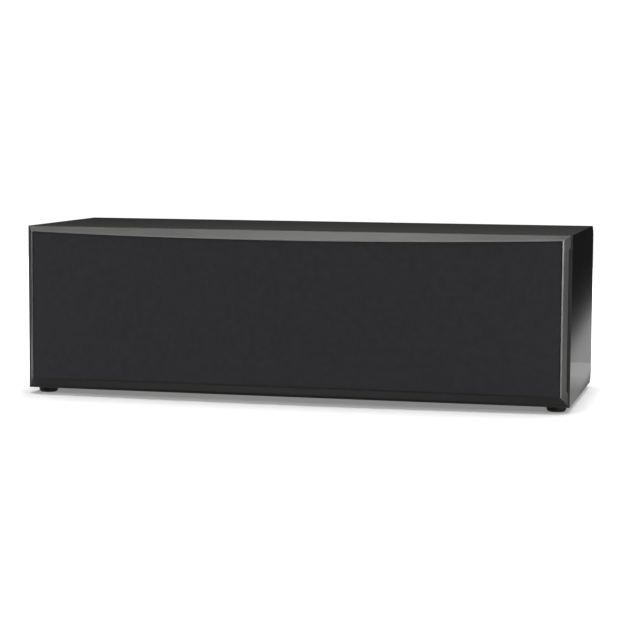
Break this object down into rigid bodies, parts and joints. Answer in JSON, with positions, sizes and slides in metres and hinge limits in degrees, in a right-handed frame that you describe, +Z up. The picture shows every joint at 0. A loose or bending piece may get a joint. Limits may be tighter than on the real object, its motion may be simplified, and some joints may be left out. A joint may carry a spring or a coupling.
{
  "type": "center channel speaker",
  "caption": "Wide, low loudspeaker cabinet in gloss black with a bowed, bezel-framed cloth grille that pulls off, twin woofers about a tweeter, rear slot ports and a terminal cup.",
  "frame": {"origin": "under the middle of the whole speaker, on the plane its feet stand on", "axes": "+X to the right seen from the front, +Y to the back, +Z up"},
  "size_m": [0.667, 0.2774, 0.207],
  "materials": {
    "gloss_lacquer": "fibreboard in gloss black lacquer",
    "black_board": "fibreboard painted satin black",
    "bare_board": "bare fibreboard",
    "gunmetal": "satin gunmetal paint on a moulding",
    "black_plastic": "fine matt moulding",
    "grille_cloth": "tight black knit",
    "rubber": "matt black",
    "cast_frame": "cast, black powder coat",
    "motor_steel": "dark passivated steel",
    "diaphragm": "satin grey sandwich",
    "film": "pleated film with bright conductors",
    "magnet": "plain dark",
    "plated_brass": "bright gold plate",
    "red_cap": "clear red moulding",
    "black_cap": "clear black moulding",
    "circuit_board": "green solder mask",
    "inductor": "laminated core with copper winding",
    "capacitor": "yellow wrap",
    "resistor": "white cement block",
    "wadding": "loose white fibre"
  },
  "bodies": {
    "cabinet": {"cabinet_shell": "gloss_lacquer", "front_baffle": "black_board", "rear_panel": "black_board", "cabinet_braces": "bare_board", "peg_cups": "rubber", "woofer_frames": "cast_frame", "woofer_motors": "motor_steel", "woofer_surrounds": "rubber", "tweeter_plate": "black_plastic", "tweeter_film": "film", "tweeter_magnets": "magnet", "tweeter_back_plate": "motor_steel", "port_ducts": "black_plastic", "terminal_cup": "black_plastic", "binding_posts": "plated_brass", "crossover_board": "circuit_board", "crossover_standoffs": "black_plastic", "crossover_inductors": "inductor", "crossover_capacitors": "capacitor", "crossover_resistors": "resistor", "damping_pads": "wadding", "feet": "rubber"},
    "grille": {"grille_bezel": "gunmetal", "grille_frame": "black_plastic", "grille_cloth": "grille_cloth"},
    "left_woofer": {"woofer_left_diaphragm": "diaphragm"},
    "right_woofer": {"woofer_right_diaphragm": "diaphragm"},
    "red_washer_ring": {"red_washer": "plated_brass"},
    "red_terminal_nut": {"red_nut": "red_cap"},
    "black_washer_ring": {"black_washer": "plated_brass"},
    "black_terminal_nut": {"black_nut": "black_cap"}
  },
  "joints": [
    {"name": "grille_pull", "type": "slide", "parent": "cabinet", "child": "grille", "axis": [0, -1, 0], "range_m": [0, 0.03]},
    {"name": "left_woofer_stroke", "type": "slide", "parent": "cabinet", "child": "left_woofer", "axis": [0, -1, 0], "range_m": [-0.004, 0.004], "stiffness_N_per_m": 1200, "deforming": ["woofer_surrounds"]},
    {"name": "right_woofer_stroke", "type": "slide", "parent": "cabinet", "child": "right_woofer", "axis": [0, -1, 0], "range_m": [-0.004, 0.004], "stiffness_N_per_m": 1200, "deforming": ["woofer_surrounds"]},
    {"name": "red_nut_rise", "type": "slide", "parent": "cabinet", "child": "red_washer_ring", "axis": [0, 1, 0], "range_m": [0, 0.004]},
    {"name": "red_nut_turn", "type": "hinge", "parent": "red_washer_ring", "child": "red_terminal_nut", "pos_m": [0.0095, 0.119, 0.107], "axis": [0, 1, 0], "range_deg": [0, 1805]},
    {"name": "black_nut_rise", "type": "slide", "parent": "cabinet", "child": "black_washer_ring", "axis": [0, 1, 0], "range_m": [0, 0.004]},
    {"name": "black_nut_turn", "type": "hinge", "parent": "black_washer_ring", "child": "black_terminal_nut", "pos_m": [-0.0095, 0.119, 0.107], "axis": [0, 1, 0], "range_deg": [0, 1805]}
  ],
  "couplings": [
    {"joint": "red_nut_turn", "follows": "red_nut_rise", "rad_per_m": 7854},
    {"joint": "black_nut_turn", "follows": "black_nut_rise", "rad_per_m": 7854}
  ]
}
